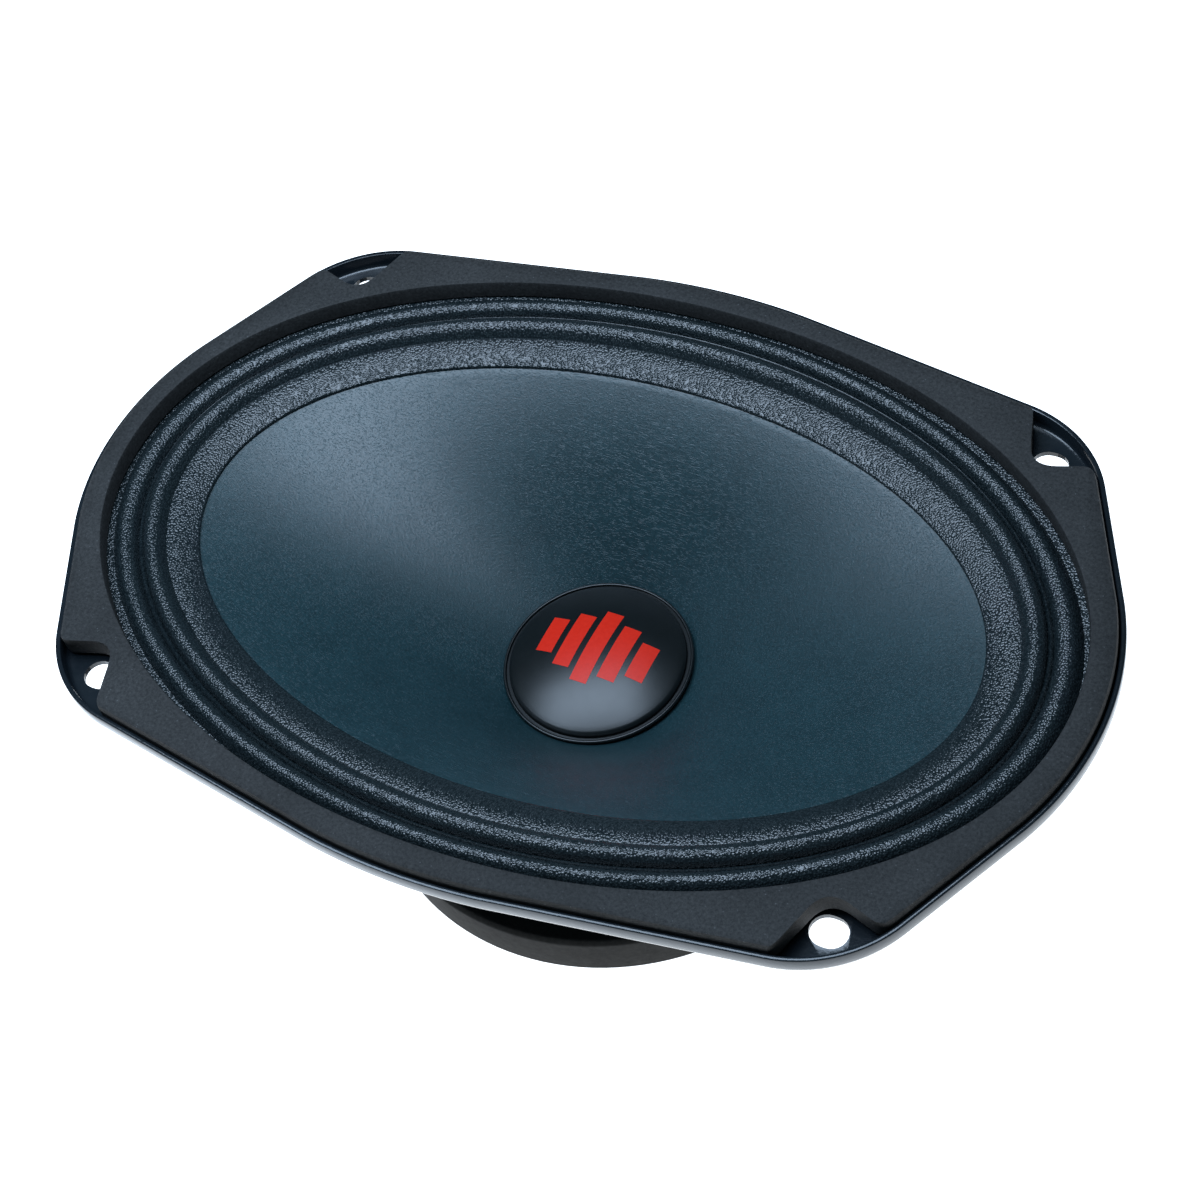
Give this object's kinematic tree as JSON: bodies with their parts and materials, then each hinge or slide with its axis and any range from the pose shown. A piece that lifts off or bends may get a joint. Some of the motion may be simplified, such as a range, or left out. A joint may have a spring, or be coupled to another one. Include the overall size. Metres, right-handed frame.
{
  "type": "oval car loudspeaker",
  "caption": "Oval car loudspeaker with a pressed steel basket, cloth surround, blue paper cone, plain dust cap and ring magnet; the cone assembly slides on its axis.",
  "frame": {"origin": "centre of the back plate's underside, on the loudspeaker's axis", "axes": "+Z along the loudspeaker's axis, out of the cone's front; +X along the oval's long axis; +Y along its short axis, towards the terminal board"},
  "size_m": [0.235, 0.16, 0.0799],
  "materials": {
    "black_paint": "gloss black paint on pressed steel",
    "gasket_fibre": "charcoal pressed fibre with fine specks",
    "surround_cloth": "doped black cloth",
    "spider_cloth": "resin-dipped yellow cloth",
    "zinc_steel": "zinc-plated steel",
    "ferrite": "dark grey sintered ferrite",
    "fibre_board": "dark phenolic board",
    "tinned_brass": "tinned brass",
    "braided_lead": "tinsel braid",
    "cone_paper": "dark blue pulp paper with pale fibres",
    "cap_plastic": "satin black moulded plastic",
    "former_cloth": "resin glass cloth",
    "copper_wire": "enamelled copper wire",
    "wrap_paper": "brown kraft paper",
    "solder": "tin solder"
  },
  "bodies": {
    "basket": {"basket_frame": "black_paint", "front_gasket": "gasket_fibre", "surround": "surround_cloth", "spider": "spider_cloth", "back_plate_pole": "zinc_steel", "vent_screen": "zinc_steel", "ferrite_magnet": "ferrite", "top_plate": "zinc_steel", "plate_rivet_1": "zinc_steel", "plate_rivet_2": "zinc_steel", "plate_rivet_3": "zinc_steel", "plate_rivet_4": "zinc_steel", "terminal_board": "fibre_board", "positive_terminal": "tinned_brass", "negative_terminal": "tinned_brass", "board_rivet_1": "zinc_steel", "board_rivet_2": "zinc_steel", "positive_tinsel_lead": "braided_lead", "negative_tinsel_lead": "braided_lead"},
    "cone_assembly": {"cone": "cone_paper", "dust_cap": "cap_plastic", "coil_former": "former_cloth", "coil_winding": "copper_wire", "coil_paper_wrap": "wrap_paper", "positive_coil_pad": "solder", "negative_coil_pad": "solder"}
  },
  "joints": [
    {"name": "cone_travel", "type": "slide", "parent": "basket", "child": "cone_assembly", "axis": [0, 0, 1], "range_m": [-0.0045, 0.0045], "stiffness_N_per_m": 3000, "deforming": ["surround", "spider", "positive_tinsel_lead", "negative_tinsel_lead"]}
  ]
}
